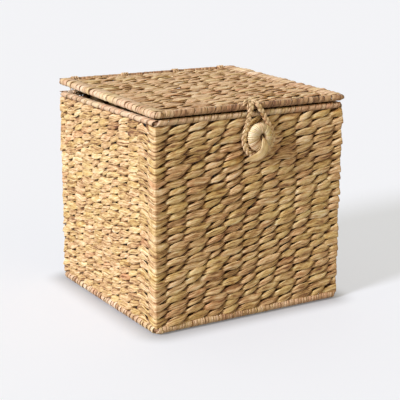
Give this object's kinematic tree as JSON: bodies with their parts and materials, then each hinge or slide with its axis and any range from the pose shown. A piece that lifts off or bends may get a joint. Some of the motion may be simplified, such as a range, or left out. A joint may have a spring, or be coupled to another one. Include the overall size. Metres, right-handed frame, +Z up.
{
  "type": "woven lidded storage box",
  "caption": "Square twined leaf box on a wire cage, with a lashed lid that lifts at the back and a plaited loop that hooks over a wound button.",
  "frame": {"origin": "middle of the underside, on the surface that the box stands on", "axes": "+X to the right seen from the front, front towards -Y, +Z up"},
  "size_m": [0.3322, 0.3389, 0.3363],
  "materials": {
    "wall_leaf": "dried leaf strands, satin",
    "rail_leaf": "wound dried leaf, satin",
    "lid_leaf": "dried leaf strands, satin",
    "cord_leaf": "plaited and twisted leaf",
    "button_leaf": "wound leaf, satin",
    "wire": "dark painted welded wire"
  },
  "bodies": {
    "box": {"box_cage": "wire", "front_weave": "wall_leaf", "right_weave": "wall_leaf", "back_weave": "wall_leaf", "left_weave": "wall_leaf", "base_weave": "wall_leaf", "front_base_binding": "rail_leaf", "right_base_binding": "rail_leaf", "back_base_binding": "rail_leaf", "left_base_binding": "rail_leaf", "front_rim_binding": "rail_leaf", "right_rim_binding": "rail_leaf", "back_rim_binding": "rail_leaf", "left_rim_binding": "rail_leaf", "hinge_tie_1": "cord_leaf", "hinge_tie_2": "cord_leaf", "hinge_tie_3": "cord_leaf", "hinge_tie_4": "cord_leaf", "button": "button_leaf", "button_tie": "cord_leaf"},
    "lid": {"lid_cage": "wire", "lid_weave": "lid_leaf", "front_lid_binding": "rail_leaf", "right_lid_binding": "rail_leaf", "back_lid_binding": "rail_leaf", "left_lid_binding": "rail_leaf", "loop_anchor": "cord_leaf"},
    "loop": {"closure_loop": "cord_leaf"}
  },
  "joints": [
    {"name": "lid_hinge", "type": "hinge", "parent": "box", "child": "lid", "pos_m": [0, 0.1545, 0.3281], "axis": [-1, 0, 0], "range_deg": [0, 200]},
    {"name": "loop_swing", "type": "hinge", "parent": "lid", "child": "loop", "pos_m": [-0.002, -0.15994, 0.32682], "axis": [-1, 0, 0], "range_deg": [0, 110]}
  ]
}
